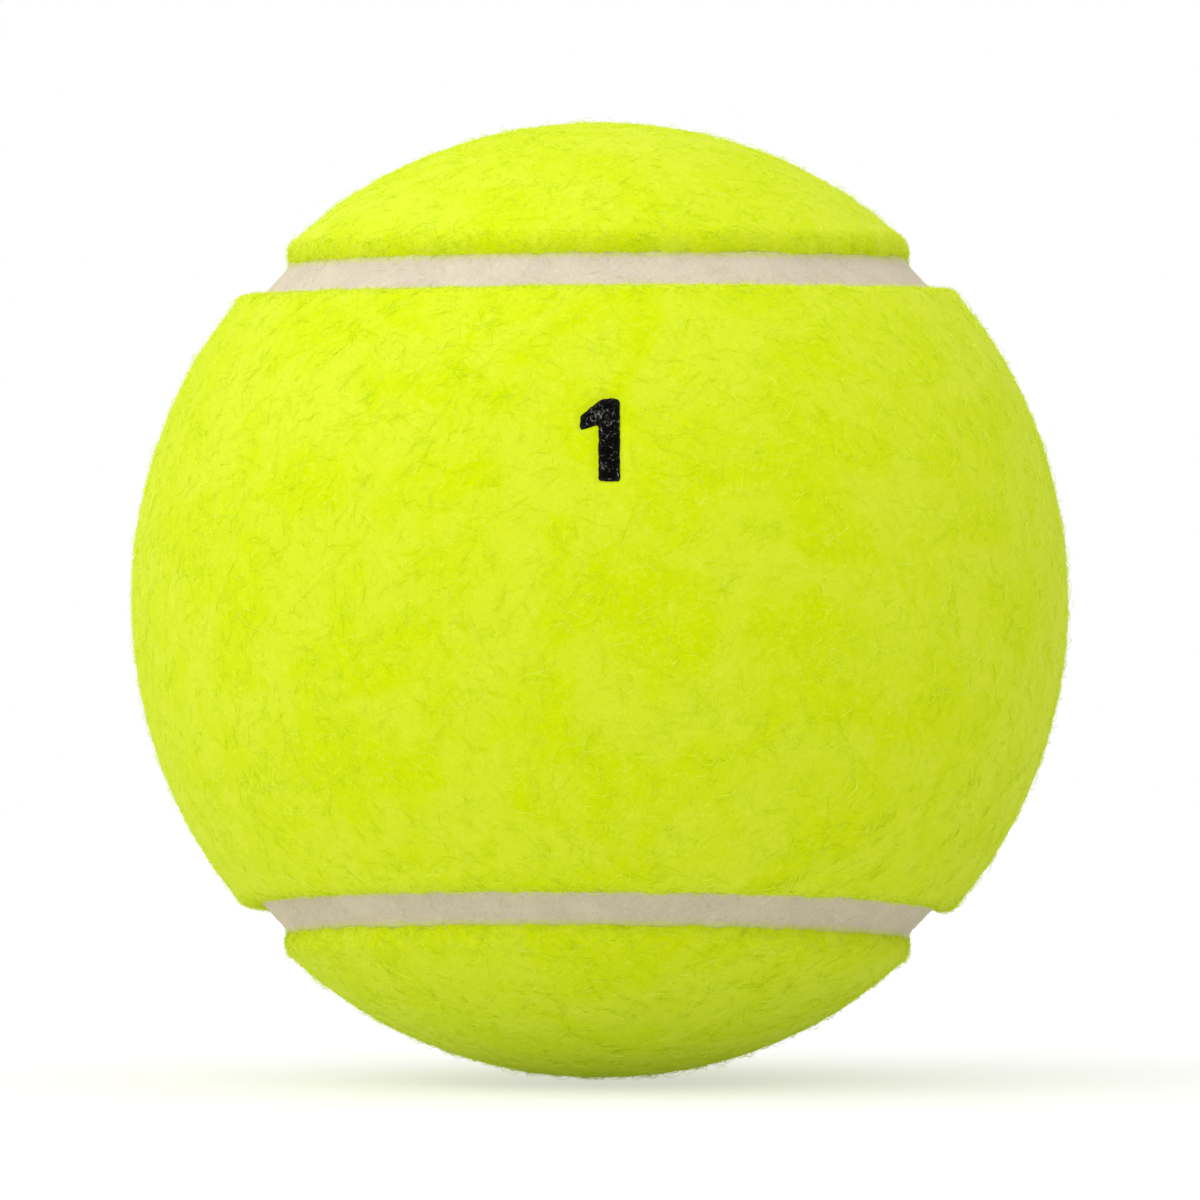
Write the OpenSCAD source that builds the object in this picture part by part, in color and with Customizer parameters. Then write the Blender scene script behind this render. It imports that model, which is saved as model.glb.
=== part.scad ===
// Tennis ball: a hollow rubber core made of two half shells, under two interlocking
// bone-shaped felt panels that meet at a recessed rubber seam.
// Millimetres, +Z up, origin at the ball's centre. The front is -Y: the waist of the
// front panel lies there, level, between the two caps of the back panel. The back is
// the same ball turned over, with its waist upright.

/* [Ball] */
// Diameter over the felt
ball_d = 67; // [65.4:0.1:68.6]

/* [Core] */
// Wall of the two moulded rubber half shells
core_wall = 3.5; // [2.8:0.1:4.5]
// Thickness of the cement between the rims of the half shells
joint_t = 0.2; // [0.1:0.05:0.4]
// Thickness of the cement coat round the closed core
core_coat_t = 0.15; // [0.1:0.05:0.3]

/* [Felt panels] */
// Thickness of the felt cloth with its raised nap
felt_t = 3.1; // [2.6:0.1:3.6]
// Thickness of the cement on the back of each panel
panel_coat_t = 0.15; // [0.1:0.05:0.3]
// Radius of the nap's rounded edge beside the seam
edge_r = 1; // [0.6:0.1:1.4]

/* [Seam] */
// Width of the seam's face
seam_w = 3; // [2.4:0.1:3.6]
// Depth of the seam's face below the felt
seam_recess = 1.3; // [0.8:0.1:1.8]
// Lean of each seam arc's plane towards the panel's waist, in degrees
seam_tilt = 4; // [0:0.5:8]

/* [Printed number] */
// Height of the figure
number_h = 5.75; // [4:0.25:8]
// Width of the figure over its flag
number_w = 2.6; // [2.2:0.1:3.6]
// Width of the figure's stem
stem_w = 1.4; // [0.8:0.1:1.8]
// Height of the figure's middle above the waist's middle, in degrees
number_up = 16.4; // [0:0.2:24]
// Place of the figure to the right of the waist's middle, in degrees
number_side = 7.2; // [-20:0.2:20]
// Thickness of the ink
ink_t = 0.06; // [0.04:0.01:0.1]

/* [Hidden] */

$fn = 128;

// Radii, from the outside in: felt, cement on its back, cement on the core, core
ball_r = ball_d / 2;
felt_in_r = ball_r - felt_t;
coat_r = felt_in_r - panel_coat_t;
core_r = coat_r - core_coat_t;
core_in_r = core_r - core_wall;
seam_r = ball_r - seam_recess;

// Each seam arc is part of a circle round its own axis. The four circles pass through
// four points midway between the X and Z axes, where one arc runs on into the next.
seam_polar = acos(sqrt(1 / 2) * cos(seam_tilt));
seam_sweep = 180 + 2 * atan(sin(seam_tilt));
// Half the seam's width, as an angle at the ball's centre
seam_half = asin(seam_w / 2 / seam_r);

// Steps along each seam arc, and round the nap's edge
arc_steps = 40;
edge_steps = 3;

// Zones run out to here, so that the flat facets that close them stay off the ball
reach = 3 * ball_r;

// The figure 1, in shares of its height and of its stem's width
flag_tip_share = 0.21;
flag_end_share = 0.18;
flag_foot_share = 0.32;
flag_start_share = 0.18;

// Way out from the centre at one step of the front's upper arc, from right to left.
// The angle aside is measured from the seam's middle, away from the arc's own axis.
function arc_way(step, aside) =
    let (
        polar = seam_polar + aside,
        turn = 270 + seam_sweep * (1 / 2 - step / arc_steps),
        across = sin(polar) * sin(turn),
        up = cos(polar)
    )
    [
        sin(polar) * cos(turn),
        across * cos(seam_tilt) - up * sin(seam_tilt),
        across * sin(seam_tilt) + up * cos(seam_tilt),
    ];

// Carries a point from one arc to the next: up becomes left, and front becomes back
function next_arc(point) = [-point.z, -point.y, point.x];
function carried(point, arcs) = arcs == 0 ? point : carried(next_arc(point), arcs - 1);

// Closed line of points round the ball, beside the seam's middle. It lies on the front
// panel's side of it where the angle aside is above 0.
function seam_line(radius, aside) = [
    for (arc = [0:3], step = [0:arc_steps - 1])
        radius * carried(arc_way(step, arc % 2 == 0 ? aside : -aside), arc)
];
line_points = 4 * arc_steps;

// The line through a place in the seam's section, which is given to the side of the
// seam's middle and out from the ball's centre
function line_through(place) = seam_line(norm(place), atan2(place.x, place.y));

// Section of the nap's edge: it leaves the groove's wall, rounds over and ends just
// past the outside of the felt
edge_start = (ball_r - edge_r) * [sin(seam_half), cos(seam_half)];
edge_places = [
    for (i = [0:edge_steps])
        let (turn = 90 * i / edge_steps)
        edge_start + edge_r * [1 - cos(turn), sin(turn)]
];
edge_end_angle = atan2(edge_places[edge_steps].x, edge_places[edge_steps].y);

// Facets between two lines, which start at these points of a polyhedron
function strip(from, to) = [
    for (i = [0:line_points - 1])
        let (j = (i + 1) % line_points)
        each [[from + i, to + i, to + j], [from + i, to + j, from + j]]
];

// Solid from the ball's centre out through a row of lines, closed by facets that run
// from the last line to one point far out in front
module zone(lines) {
    first = 1;
    last = first + (len(lines) - 1) * line_points;
    tip = last + line_points;
    polyhedron(
        points = [[0, 0, 0], for (line = lines) each line, [0, -reach, 0]],
        faces = [
            for (i = [0:line_points - 1])
                let (j = (i + 1) % line_points)
                each [[0, first + i, first + j], [last + i, tip, last + j]],
            for (k = [1:1:len(lines) - 1])
                each strip(first + (k - 1) * line_points, first + k * line_points),
        ]
    );
}

// Closed band along the seam, between two radii
module seam_band(out_r, in_r) {
    corners = [
        seam_line(in_r, -seam_half),
        seam_line(in_r, seam_half),
        seam_line(out_r, seam_half),
        seam_line(out_r, -seam_half),
    ];
    polyhedron(
        points = [for (line = corners) each line],
        faces = [
            for (k = [0:3])
                each strip(k * line_points, (k + 1) % 4 * line_points)
        ]
    );
}

// Hollow ball between two radii
module hollow_ball(out_r, in_r) {
    difference() {
        sphere(out_r);
        sphere(in_r);
    }
}

// The front panel's felt, with its edge rounded along the seam
module front_felt() {
    intersection() {
        hollow_ball(ball_r, felt_in_r);
        zone([
            for (place = edge_places) line_through(place),
            seam_line(reach, edge_end_angle),
        ]);
    }
}

// The cement on the back of the front panel
module front_cement() {
    intersection() {
        hollow_ball(felt_in_r, coat_r);
        zone([seam_line(reach, seam_half)]);
    }
}

// Turns the ball over about the line midway between X and Z, which swaps its panels
module turned_over() {
    rotate(a = 180, v = [1, 0, 1])
        children();
}

// Section of the core's wall to the right of Z, between two heights
module core_section(low, high) {
    intersection() {
        difference() {
            circle(core_r);
            circle(core_in_r);
        }
        translate([0, low])
            square([core_r, high - low]);
    }
}

// The figure 1, centred at 0,0: a stem with a slanting flag
module figure_one() {
    stem_left = number_w / 2 - stem_w;
    top = number_h / 2;
    polygon([
        [number_w / 2, -top],
        [number_w / 2, top],
        [stem_left + stem_w * flag_start_share, top],
        [-number_w / 2, top - number_h * flag_tip_share],
        [-number_w / 2, top - number_h * (flag_tip_share + flag_end_share)],
        [stem_left, top - number_h * flag_foot_share],
        [stem_left, -top],
    ]);
}

module core_shell_upper() {
    color("#6b645c")
        rotate_extrude()
            core_section(joint_t / 2, core_r);
}

module core_shell_lower() {
    color("#6b645c")
        rotate_extrude()
            core_section(-core_r, -joint_t / 2);
}

module core_joint_cement() {
    color("#cdb98a")
        rotate_extrude()
            core_section(-joint_t / 2, joint_t / 2);
}

module core_cement_coat() {
    color("#d9c79b")
        hollow_ball(coat_r, core_r);
}

module felt_panel_front() {
    color("#d4ee10")
        front_felt();
}

module felt_panel_back() {
    color("#d4ee10")
        turned_over()
            front_felt();
}

module panel_cement_front() {
    color("#e3d6b0")
        front_cement();
}

module panel_cement_back() {
    color("#e3d6b0")
        turned_over()
            front_cement();
}

module seam_rubber() {
    color("#e6dcc4")
        intersection() {
            hollow_ball(seam_r, coat_r);
            seam_band(ball_r, core_in_r);
        }
}

module printed_number() {
    color("#0c0b08")
        intersection() {
            hollow_ball(ball_r + ink_t, ball_r);
            rotate([-number_up, 0, number_side])
                rotate([90, 0, 0])
                    linear_extrude(height = reach)
                        figure_one();
        }
}

core_shell_upper();
core_shell_lower();
core_joint_cement();
core_cement_coat();
felt_panel_front();
felt_panel_back();
panel_cement_front();
panel_cement_back();
seam_rubber();
printed_number();
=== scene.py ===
# %% [markdown]
# # A tennis ball
# A tennis ball is a hollow rubber core under two bone-shaped panels of raised felt. The
# panels meet at a seam of pale rubber that lies a little below the felt, and a number is
# printed on the front one. The CAD frame gives the core, the cement films and the general
# shape of the rest. This lesson adds what an eye sees: the nap of the felt with its curly
# fibres, the slightly uneven seam and the inked number.

# %% Load the frame
import math

import bpy
import numpy as np
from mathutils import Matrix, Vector, noise
from mathutils.geometry import delaunay_2d_cdt


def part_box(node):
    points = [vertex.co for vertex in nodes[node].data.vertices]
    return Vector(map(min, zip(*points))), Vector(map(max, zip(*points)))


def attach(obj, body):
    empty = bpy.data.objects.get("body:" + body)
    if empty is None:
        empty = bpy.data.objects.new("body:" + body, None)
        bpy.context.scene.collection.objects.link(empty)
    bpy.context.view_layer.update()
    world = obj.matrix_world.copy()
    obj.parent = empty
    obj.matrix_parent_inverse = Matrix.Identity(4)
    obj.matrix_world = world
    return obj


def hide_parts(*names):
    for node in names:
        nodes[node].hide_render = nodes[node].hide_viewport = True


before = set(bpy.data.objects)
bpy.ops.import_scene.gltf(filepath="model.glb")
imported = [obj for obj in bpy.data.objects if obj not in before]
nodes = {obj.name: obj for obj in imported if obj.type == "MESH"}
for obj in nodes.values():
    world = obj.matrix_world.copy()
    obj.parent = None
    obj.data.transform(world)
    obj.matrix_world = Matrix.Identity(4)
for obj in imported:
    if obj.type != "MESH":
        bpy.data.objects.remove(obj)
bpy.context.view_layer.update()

print("CAD nodes:", ", ".join(sorted(nodes)))

# %% [markdown]
# ## Camera, light and floor
# The camera comes first, because every choice after it is judged through it. The seam bands
# of the photograph fit a camera 12 ball radii from the centre, 7.2 degrees to the right of
# the front and 2 degrees below the middle. A long lens frames the ball with a tenth of the
# picture free on each side.

# %% Small helpers and the camera
MM = 0.001
scene = bpy.context.scene
ball_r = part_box("felt_panel_front")[1].x  # the front panel's ends reach the full radius


def unit(vectors):
    """The vectors of an array, made one long."""
    return vectors / np.linalg.norm(vectors, axis=-1, keepdims=True)


def way_out(right_deg, up_deg):
    """Unit vector from the centre: degrees to the right of the front, and above the middle."""
    right, up = math.radians(right_deg), math.radians(up_deg)
    return Vector(
        (math.sin(right) * math.cos(up), -math.cos(right) * math.cos(up), math.sin(up))
    )


def set_out(name, data, way, radii):
    """Sets a camera or a lamp this many ball radii out from the centre, turned towards it."""
    made = bpy.data.objects.new(name, data)
    scene.collection.objects.link(made)
    made.location = way * radii * ball_r
    made.rotation_euler = way.to_track_quat("Z", "Y").to_euler()
    return made


CAMERA_RIGHT, CAMERA_UP = 7.19, -1.97  # degrees
CAMERA_RADII = 12
OUTLINE_SHARE = 0.7875  # the ball's width as a share of the picture's
SENSOR = 36  # mm
SIGHT = 20  # metres

camera_data = bpy.data.cameras.new("Camera")
camera = set_out("Camera", camera_data, way_out(CAMERA_RIGHT, CAMERA_UP), CAMERA_RADII)
scene.camera = camera
half_picture = 1 / math.sqrt(CAMERA_RADII**2 - 1) / OUTLINE_SHARE  # tangent of its angle
camera_data.sensor_width = SENSOR
camera_data.lens = SENSOR / 2 / half_picture
camera_data.clip_start = ball_r
camera_data.clip_end = SIGHT
print(f"lens {camera_data.lens:.0f} mm, {camera.location.length / MM:.0f} mm away")

# %% [markdown]
# One small function adds a node to any tree, with its settings, its values and its links. An
# input may be given another node's output, a colour's code or a plain value.
# Colours are written as sRGB hex codes, as a paint program shows them, and another function
# turns them into the linear values that Blender works with.

# %% Adding nodes and colours
MATH, VECTOR, NOISE = "ShaderNodeMath", "ShaderNodeVectorMath", "ShaderNodeTexNoise"


def colour(code):
    """Linear colour with alpha from an sRGB hex code."""
    parts = [int(code[i : i + 2], 16) / 255 for i in (0, 2, 4)]
    return [p / 12.92 if p <= 0.04045 else ((p + 0.055) / 1.055) ** 2.4 for p in parts] + [1]


def add(tree, kind, inputs=(), give=0, **settings):
    """Adds a node and gives one of its outputs. Inputs go by order, or by name or number."""
    node = tree.nodes.new(kind)
    for name, value in settings.items():
        setattr(node, name, value)
    for key, value in inputs.items() if isinstance(inputs, dict) else enumerate(inputs):
        socket = node.inputs[key]
        if isinstance(value, bpy.types.NodeSocket):
            tree.links.new(value, socket)
        else:
            socket.default_value = colour(value) if socket.type == "RGBA" else value
    return node.outputs[give] if len(node.outputs) else None


def empty_tree(owner):
    """The node tree of a material or the world, with nothing in it."""
    owner.use_nodes = True
    owner.node_tree.nodes.clear()
    return owner.node_tree


print("optic yellow D9EC00 is", [round(part, 3) for part in colour("D9EC00")], "to Blender")

# %% [markdown]
# The light is that of a white room with two very large softboxes, one on the left and one
# above. A sun lamp with a wide angle does that: it is as soft as a big softbox, and as it is
# far away it lights the floor evenly. The white ground of the photograph comes from the world
# and the floor, which look white to the camera and light the ball at a plain level.

# %% World and lamps
LAMPS = {  # degrees to the right and up, strength, width in degrees
    "Left softbox": (-60, 15, 1.27, 100),
    "Top softbox": (0, 70, 1.7, 100),
}
LAMP_RADII = 10
ROOM_LIGHT = 0.4


def seen_rays(tree):
    """1 for the rays that show a surface: straight, mirrored and through glass. 0 for light."""
    rays = add(tree, "ShaderNodeLightPath").node.outputs
    seen = rays["Is Camera Ray"]
    for kind in ("Is Glossy Ray", "Is Transmission Ray"):
        seen = add(tree, MATH, [seen, rays[kind]], operation="MAXIMUM")
    return seen


scene.view_settings.view_transform = "Standard"
world = bpy.data.worlds.new("White room")
scene.world = world
room = empty_tree(world)
room_lit = add(room, "ShaderNodeBackground", {"Color": "FFFFFF", "Strength": ROOM_LIGHT})
room_seen = add(room, "ShaderNodeBackground", {"Color": "FFFFFF", "Strength": 1.0})
room_whole = add(room, "ShaderNodeMixShader", [seen_rays(room), room_lit, room_seen])
add(room, "ShaderNodeOutputWorld", {"Surface": room_whole})

for name, (right, up, strength, width) in LAMPS.items():
    lamp = bpy.data.lights.new(name, "SUN")
    lamp.energy = strength
    lamp.angle = math.radians(width)
    set_out(name, lamp, way_out(right, up), LAMP_RADII)
    print(f"{name}: {strength} strong, {width} degrees wide")

# %% Floor
FLOOR_LIT, FLOOR_SEEN = ("D8D8D8", 0.16), ("BCBCBC", 0.55)  # colour and glow
FLOOR_HALF = 6  # metres
FLOOR_GAP = 0.4 * MM  # below the nap, because the tips of the longest fibres reach it
TALLER = 0.01  # the photographed ball's share over its mean size, as its nap grew

floor_white = bpy.data.materials.new("Matt white studio floor")
paint = empty_tree(floor_white)
boards = []
for code, strength in (FLOOR_LIT, FLOOR_SEEN):
    board = add(paint, "ShaderNodeBsdfDiffuse", {"Color": code})
    glow = add(paint, "ShaderNodeEmission", {"Color": "FFFFFF", "Strength": strength})
    boards.append(add(paint, "ShaderNodeAddShader", [board, glow]))
floor_whole = add(paint, "ShaderNodeMixShader",
                  [seen_rays(paint), boards[0], boards[1]])
add(paint, "ShaderNodeOutputMaterial", {"Surface": floor_whole})

floor_z = -ball_r * (1 + TALLER) - FLOOR_GAP
floor_mesh = bpy.data.meshes.new("floor")
floor_corners = [(x * FLOOR_HALF, y * FLOOR_HALF, floor_z)
                 for x, y in ((-1, -1), (1, -1), (1, 1), (-1, 1))]
floor_mesh.from_pydata(floor_corners, [], [(0, 1, 2, 3)])
floor = bpy.data.objects.new("floor", floor_mesh)
scene.collection.objects.link(floor)
floor_mesh.materials.append(floor_white)
print(f"the floor lies {-floor_z / MM:.2f} mm below the ball's middle")

# %% [markdown]
# ## Where the seam runs
# The seam is four arcs of circles round four axes, one for each rounded end of the two
# panels. Two axes stand up and down and lean to the front, and two lie left and right and
# lean to the back. The same few sizes as in the CAD source give every point of it.

# %% Path of the seam
SEAM_WIDTH = 3 * MM
SEAM_DEPTH = 1.3 * MM  # from the felt down to the seam's face
SEAM_LEAN = math.radians(4)
ARC_STEPS = 220
felt_in_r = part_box("panel_cement_front")[1].x
coat_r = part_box("core_cement_coat")[1].x
seam_r = ball_r - SEAM_DEPTH
seam_polar = math.acos(math.sqrt(0.5) * math.cos(SEAM_LEAN))
seam_sweep = math.pi + 2 * math.atan(math.sin(SEAM_LEAN))
seam_half = math.asin(SEAM_WIDTH / 2 / seam_r)
seam_points = 4 * ARC_STEPS
sin_lean, cos_lean = math.sin(SEAM_LEAN), math.cos(SEAM_LEAN)


def seam_ways(aside):
    """Unit vectors round the seam, at an angle beside its middle: the front panel's is above 0."""
    place = np.arange(seam_points)
    arc, step = place // ARC_STEPS, place % ARC_STEPS
    polar = seam_polar + np.where(arc % 2 == 0, 1, -1) * aside
    turn = 1.5 * math.pi + seam_sweep * (0.5 - step / ARC_STEPS)
    x = np.sin(polar) * np.cos(turn)
    across, up = np.sin(polar) * np.sin(turn), np.cos(polar)
    y = across * cos_lean - up * sin_lean
    z = across * sin_lean + up * cos_lean
    for carry in (1, 2, 3):  # up becomes left, and front becomes back
        later = arc >= carry
        x, y, z = (np.where(later, new, old) for new, old in ((-z, x), (-y, y), (x, z)))
    return np.stack([x, y, z], axis=-1)


def beside_seam(ways):
    """Angle from the seam's middle to each unit vector, above 0 on the front panel."""
    caps = np.array([[0, -sin_lean, cos_lean], [0, -sin_lean, -cos_lean]])
    ends = np.array([[-cos_lean, sin_lean, 0], [cos_lean, sin_lean, 0]])
    from_caps = np.arccos(np.clip(ways @ caps.T, -1, 1)).min(axis=-1) - seam_polar
    from_ends = seam_polar - np.arccos(np.clip(ways @ ends.T, -1, 1)).min(axis=-1)
    return np.where(ways[..., 1] < 0, from_caps, from_ends)


line = seam_ways(0.0)
seam_length = np.linalg.norm(line - np.roll(line, 1, axis=0), axis=1).sum() * seam_r
print(f"the seam is {seam_length / MM:.0f} mm long, off by {abs(beside_seam(line)).max():.1e}")

# %% [markdown]
# ## The number
# The figure 1 is printed on the front panel above the middle. Its outline is the one in the
# CAD source, with its corners softened a little, because ink creeps along fibres. The felt
# needs to know where it is, so that no yellow fibre grows through the ink.

# %% Outline of the figure
FIGURE_RIGHT, FIGURE_UP = 7.2, 16.4  # degrees
FIGURE_H, FIGURE_W, STEM_W = 5.75 * MM, 2.6 * MM, 1.4 * MM
CORNER = 0.24 * MM
SLOPE_SHARE = 0.18  # of the stem's width: the place on the top where the flag starts
FLAG_SHARES = 0.21, 0.39, 0.32  # of the height, from the top: its tip, and its root
ROUND_STEPS = 0, 0.33, 0.67, 1
figure_out = np.array(way_out(FIGURE_RIGHT, FIGURE_UP))
figure_right = np.array(way_out(FIGURE_RIGHT + 90, 0))
figure_up = np.cross(figure_right, -figure_out)


def on_figure_plane(points):
    """Places to the right of and above the figure's middle."""
    return np.stack([points @ figure_right, points @ figure_up], axis=-1)


def figure_outline():
    """The figure's corners, rounded, in metres round its middle."""
    right, top, stem = FIGURE_W / 2, FIGURE_H / 2, FIGURE_W / 2 - STEM_W
    tip_top, tip_low, root = (top - share * FIGURE_H for share in FLAG_SHARES)
    corners = np.array([
        (right, -top), (right, top), (stem + SLOPE_SHARE * STEM_W, top), (-right, tip_top),
        (-right, tip_low), (stem, root), (stem, -top),
    ])
    start, end = (
        corners + unit(np.roll(corners, way, axis=0) - corners) * CORNER for way in (1, -1))
    curves = [(1 - t) ** 2 * start + 2 * t * (1 - t) * corners + t**2 * end
              for t in ROUND_STEPS]
    return np.stack(curves, axis=1).reshape(-1, 2)


def inside(places, outline):
    """Distance of each place from the outline, above 0 inside it."""
    start, end = outline, np.roll(outline, -1, axis=0)
    span = end - start
    apart = places[:, None, :] - start
    share = np.clip((apart * span).sum(-1) / (span**2).sum(-1), 0, 1)
    distance = np.linalg.norm(apart - share[..., None] * span, axis=-1).min(axis=1)
    level = (start[:, 1] > places[:, None, 1]) != (end[:, 1] > places[:, None, 1])
    rise = np.where(span[:, 1] == 0, 1e-12, span[:, 1])  # a level side is never crossed
    cut = start[:, 0] + (places[:, None, 1] - start[:, 1]) * span[:, 0] / rise
    crossings = (level & (places[:, None, 0] < cut)).sum(axis=1)
    return np.where(crossings % 2 == 1, distance, -distance)


outline = figure_outline()
print(f"the figure is {np.ptp(outline[:, 1]) / MM:.2f} mm high with {len(outline)} corners")

# %% [markdown]
# Felt is never a true sphere. The nap of the photographed ball stands a little taller than
# it is wide, it thins out towards the seam, where the mould pressed it, and the hot stamp of
# the number pressed it too. Its surface has soft lumps a few millimetres across. All of these
# are small changes of the radius, so they are functions of the direction from the ball's
# centre, and every piece on the outside uses them, so that all the pieces stay together.

# %% The outside's shape
LUMP, LUMP_SIZE = 0.035 * MM, 7 * MM
FINE_LUMP_SHARE, FINE_LUMP_SIZE = 0.25, 1.6 * MM
PRESSED, PRESSED_REACH = 0.3 * MM, 3 * MM  # how much lower the nap is beside the seam
PRINTED, PRINTED_REACH = 0.14 * MM, 0.3 * MM  # how much lower it is under the print
NEAR_FIGURE = 0.97  # cosine of an angle from the figure's middle, well past its corners


def stretched(points):
    """Makes the ball taller and narrower by the share seen in the photograph."""
    ways = unit(points)
    return points * (1 + TALLER * (ways[..., 2:] ** 2 - ways[..., :1] ** 2))


def rough(ways, size, octaves, seed):
    """Soft random numbers from about -1 to 1 on the ball, with lumps of this size."""
    shift = Vector((seed * 7.3, seed * 3.1, seed * 5.7))
    scale = ball_r / size
    return np.array(
        [noise.fractal(Vector(way) * scale + shift, 1.0, 2.0, octaves) for way in ways.tolist()]
    )


def felt_height(ways, seed):
    """Height of the nap over the ball's radius: swells and lumps, low where it was pressed."""
    lumps = rough(ways, LUMP_SIZE, 2, seed)
    lumps += FINE_LUMP_SHARE * rough(ways, FINE_LUMP_SIZE, 3, seed + 1)
    from_wall = np.abs(beside_seam(ways)) * ball_r - SEAM_WIDTH / 2
    height = LUMP * lumps - PRESSED * np.exp(-np.maximum(from_wall, 0) / PRESSED_REACH)
    near = ways @ figure_out > NEAR_FIGURE
    out_of_figure = -inside(on_figure_plane(ways[near] * ball_r), outline)
    height[near] -= PRINTED * np.exp(-(np.maximum(out_of_figure, 0) / PRINTED_REACH) ** 2)
    return height


print(f"the nap is pressed down by {PRESSED / MM} mm at the seam and {PRINTED / MM} under ink")

# %% [markdown]
# ## The felt panels
# Each panel is cut from a cloth of wool and nylon that is woven, raised and fulled until it
# is a dense nap. As a solid it has an outside, a shoulder that rolls over into the groove,
# a short wall and a back. A ring of rows follows the seam for the shoulder and the wall, so
# that the edge is clean. The outside between the rings has no natural grid, so points are
# laid out evenly, and a Delaunay triangulation joins them. It works on a flat map, and a
# panel lies flat on a map of longitude and latitude with little stretch.

# %% Map of a panel
FELT_SPACING = 0.5 * MM
BACK_SPACING = 2 * MM
FIGURE_SPACING = 0.14 * MM
FIGURE_MARGIN = 1 * MM  # the finely spaced felt reaches this far past the figure
MAP_SIDE, MAP_TOP = 2.5, 0.9  # radians of longitude and latitude that the map covers


def turned_over(points):
    """Turns the ball over about the line midway between X and Z, which swaps its panels."""
    return np.stack([points[..., 2], -points[..., 1], points[..., 0]], axis=-1)


def to_map(ways):
    """Longitude from the front, and latitude."""
    return np.stack(
        [np.arctan2(ways[..., 0], -ways[..., 1]), np.arcsin(np.clip(ways[..., 2], -1, 1))], -1
    )


def from_map(places):
    """Unit vectors of places on the map."""
    lon, lat = places[..., 0], places[..., 1]
    return np.stack([np.sin(lon) * np.cos(lat), -np.cos(lon) * np.cos(lat), np.sin(lat)], -1)


def even_places(spacing, least_aside):
    """Places on the map, evenly spaced over the front panel and this far from the seam."""
    step = spacing / ball_r
    rows = []
    for i, lat in enumerate(np.arange(-MAP_TOP, MAP_TOP, step * math.sqrt(0.75))):
        lons = np.arange(-MAP_SIDE, MAP_SIDE, step / math.cos(lat)) + (i % 2) * step / 2
        rows.append(np.stack([lons, np.full(len(lons), lat)], axis=-1))
    places = np.concatenate(rows)
    return places[beside_seam(from_map(places)) > least_aside]


def beside_figure(places):
    """Which places on the map are on the figure or close to it."""
    ways = from_map(places)
    near = np.array([FIGURE_W, FIGURE_H]) / 2 + FIGURE_MARGIN
    return (np.abs(on_figure_plane(ways * ball_r)) < near).all(axis=1) & (ways @ figure_out > 0)


def joined(outline, inner):
    """Joins the places inside an outline into triangles, which index outline then inner."""
    places = [Vector(p) for p in np.concatenate([outline, inner]).tolist()]
    made = delaunay_2d_cdt(places, [], [list(range(len(outline)))], 1, 1e-9)
    first = [origins[0] for origins in made[3]]
    return np.array([[first[i] for i in face] for face in made[2]])


print("the panel's map holds", len(even_places(FELT_SPACING, 0)), "places")

# %% [markdown]
# A mesh that Python lays out as arrays is made a Blender object by one function, which puts
# it on the ball's body and gives it its material. Rows of points that follow the seam are
# joined into strips of quads.

# %% New pieces and strips
def new_piece(name, points, faces, finish, smooth=True):
    """A closed piece on the body, from its points and faces, with its faces outwards."""
    mesh = bpy.data.meshes.new(name)
    lengths = np.repeat([group.shape[1] for group in faces], [len(group) for group in faces])
    mesh.vertices.add(len(points))
    mesh.vertices.foreach_set("co", np.ascontiguousarray(points, np.float32).ravel())
    corners = np.concatenate([group.ravel() for group in faces])
    mesh.loops.add(len(corners))
    mesh.loops.foreach_set("vertex_index", corners.astype(np.int32))
    mesh.polygons.add(len(lengths))
    mesh.polygons.foreach_set("loop_start", np.r_[0, np.cumsum(lengths)[:-1]].astype(np.int32))
    mesh.update(calc_edges=True)
    mesh.validate()
    mesh.polygons.foreach_set("use_smooth", np.full(len(lengths), smooth))
    mesh.materials.append(finish)
    piece = bpy.data.objects.new(name, mesh)
    scene.collection.objects.link(piece)
    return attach(piece, "root")


def mark_faces(piece, name, marked):
    """Marks faces of a piece with a named attribute, for the fibres to grow on."""
    values = piece.data.attributes.new(name, "BOOLEAN", "FACE").data
    values.foreach_set("value", marked)


def strips(rows):
    """Faces between closed rows of seam points that follow one another."""
    i = np.arange(seam_points)
    j = (i + 1) % seam_points
    low = np.arange(rows - 1)[:, None] * seam_points
    faces = np.stack([low + i, low + j, low + seam_points + j, low + seam_points + i], axis=-1)
    return faces.reshape(-1, 4)


print("a strip round the seam has", len(strips(2)), "faces")

# %% [markdown]
# The panels are built on the front panel's map and the back one is then turned over. Every
# random number is asked for by the final place, so the two panels have their own lumps. The
# cut edge of the cloth isn't a clean line either: it wanders by a tenth of a millimetre.

# %% Shape of the felt panels
PANEL_SEEDS = {"front": 11, "back": 23}
EDGE_ROUND = 1.3 * MM  # radius of the nap's shoulder, which loose fibres round off
SHOULDER_ROWS = 6
WANDER, WANDER_SIZE = 0.11 * MM, 2.2 * MM
FINE_WANDER_SHARE, FINE_WANDER_SIZE = 0.9, 0.7 * MM
TRIM = 0.12 * MM  # the nap ends this far short of the groove's wall, where it is worn back
HANGING = 0.27 * MM  # along the bottom of the front panel it hangs down this much further
HANG_RAMP = 3  # it hangs fully from a third of the radius below the middle


def trimmed(ways, front):
    """How far from the groove's wall a panel's nap ends, near each unit vector."""
    return TRIM - (HANGING * np.clip(-HANG_RAMP * ways[..., 2], 0, 1) if front else 0)


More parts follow.
